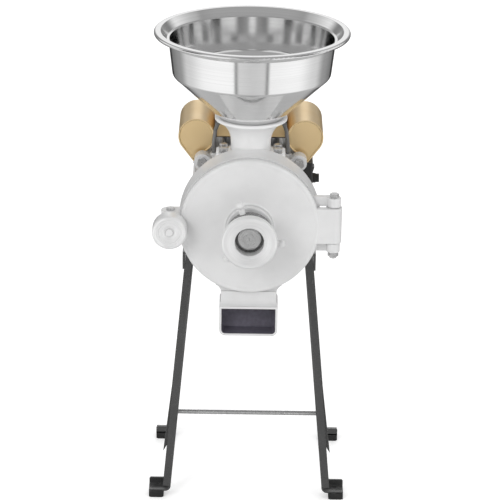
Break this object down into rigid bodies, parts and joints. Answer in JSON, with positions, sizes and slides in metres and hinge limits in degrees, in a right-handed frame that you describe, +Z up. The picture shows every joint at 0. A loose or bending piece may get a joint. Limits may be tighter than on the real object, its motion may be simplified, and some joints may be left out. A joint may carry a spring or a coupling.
{
  "type": "electric grain mill",
  "caption": "Motor-driven grain mill on a splayed four-legged stand, with a funnel hopper, a hinged round grinding head door, an adjusting hand wheel and a front spout.",
  "frame": {"origin": "middle of the rectangle of the four feet, on the floor", "axes": "+Z up, -Y to the door at the front, +X to the right seen from the front"},
  "size_m": [0.272, 0.386, 0.6789],
  "materials": {
    "polished_steel": "polished spun stainless sheet",
    "silver_casting": "smooth light silver paint on a casting",
    "turned_steel": "turned bright steel",
    "zinc": "bright zinc plating",
    "grey_iron": "machined cast iron",
    "gold_paint": "pale gold metallic paint",
    "black_paint": "semi-gloss black paint",
    "black_plastic": "moulded black plastic",
    "capacitor_can": "drawn aluminium can",
    "copper": "enamelled copper wire",
    "black_rubber": "black rubber",
    "lead_sleeve": "dark grey sleeving"
  },
  "bodies": {
    "stand": {"feed_throat": "silver_casting", "throat_bolts": "zinc", "head_housing": "silver_casting", "feed_pillar": "silver_casting", "discharge_spout": "silver_casting", "fixed_disc": "grey_iron", "disc_screws": "zinc", "shaft_seal": "black_rubber", "hinge_pin": "zinc", "hinge_nut": "zinc", "clamp_pin": "zinc", "motor_frame": "silver_casting", "stator_core": "grey_iron", "stator_windings": "copper", "front_bell": "silver_casting", "rear_bell": "silver_casting", "front_bearing": "turned_steel", "rear_bearing": "turned_steel", "fan_cover": "silver_casting", "fan_cover_screws": "zinc", "head_bolts": "zinc", "bell_screws": "zinc", "capacitor_cover_left": "gold_paint", "capacitor_cover_right": "gold_paint", "capacitor_left": "capacitor_can", "capacitor_right": "capacitor_can", "cover_bracket": "zinc", "terminal_box": "gold_paint", "lead_left": "lead_sleeve", "lead_right": "lead_sleeve", "switch_body": "black_plastic", "cord_gland": "black_plastic", "rail_left": "black_paint", "rail_right": "black_paint", "leg_front_left": "black_paint", "leg_front_right": "black_paint", "leg_rear_left": "black_paint", "leg_rear_right": "black_paint", "foot_pads": "black_rubber", "motor_bolts": "zinc", "tie_rod": "zinc"},
    "hopper": {"hopper": "polished_steel"},
    "door": {"front_door": "silver_casting", "door_gasket": "black_rubber"},
    "adjuster_spindle": {"thrust_spindle": "turned_steel", "thrust_ball": "turned_steel"},
    "adjuster": {"adjusting_sleeve": "grey_iron", "hand_wheel": "turned_steel"},
    "locking_ring": {"lock_ring": "turned_steel"},
    "clamp_bolt": {"swing_bolt": "turned_steel"},
    "clamp_ring": {"clamp_washer": "zinc"},
    "hand_nut": {"clamp_nut": "turned_steel"},
    "runner": {"main_shaft": "turned_steel", "rotating_disc": "grey_iron", "drive_pin": "zinc", "feed_auger": "grey_iron", "rotor_core": "turned_steel", "start_switch": "black_plastic", "cooling_fan": "black_plastic"},
    "rocker": {"switch_rocker": "black_plastic"}
  },
  "joints": [
    {"name": "hopper_lift", "type": "slide", "parent": "stand", "child": "hopper", "axis": [0, 0, 1], "range_m": [0, 0.06]},
    {"name": "door_swing", "type": "hinge", "parent": "stand", "child": "door", "pos_m": [0.111, -0.174, 0.43], "axis": [0, 0, 1], "range_deg": [0, 110]},
    {"name": "spindle_travel", "type": "slide", "parent": "door", "child": "adjuster_spindle", "axis": [0, -1, 0], "range_m": [0, 0.00401]},
    {"name": "wheel_turn", "type": "hinge", "parent": "adjuster_spindle", "child": "adjuster", "pos_m": [0, -0.235, 0.43], "axis": [0, -1, 0], "range_deg": [0, 720]},
    {"name": "lock_turn", "type": "hinge", "parent": "door", "child": "locking_ring", "pos_m": [0, -0.218, 0.43], "axis": [0, -1, 0], "range_deg": [0, 60]},
    {"name": "clamp_swing", "type": "hinge", "parent": "stand", "child": "clamp_bolt", "pos_m": [-0.105, -0.155, 0.43], "axis": [0, 0, -1], "range_deg": [0, 100]},
    {"name": "clamp_travel", "type": "slide", "parent": "clamp_bolt", "child": "clamp_ring", "axis": [0, -1, 0], "range_m": [0, 0.00601]},
    {"name": "nut_turn", "type": "hinge", "parent": "clamp_ring", "child": "hand_nut", "pos_m": [-0.105, -0.2, 0.43], "axis": [0, -1, 0], "range_deg": [0, 1080]},
    {"name": "shaft_spin", "type": "hinge", "parent": "stand", "child": "runner", "pos_m": [0, 0, 0.43], "axis": [0, 1, 0], "continuous": true},
    {"name": "switch_rock", "type": "hinge", "parent": "stand", "child": "rocker", "pos_m": [0.081, -0.015, 0.4495], "axis": [0, -1, 0], "range_deg": [0, 18]}
  ],
  "couplings": [
    {"joint": "spindle_travel", "follows": "wheel_turn", "m_per_rad": 0.00031831},
    {"joint": "clamp_travel", "follows": "nut_turn", "m_per_rad": 0.00031831}
  ]
}
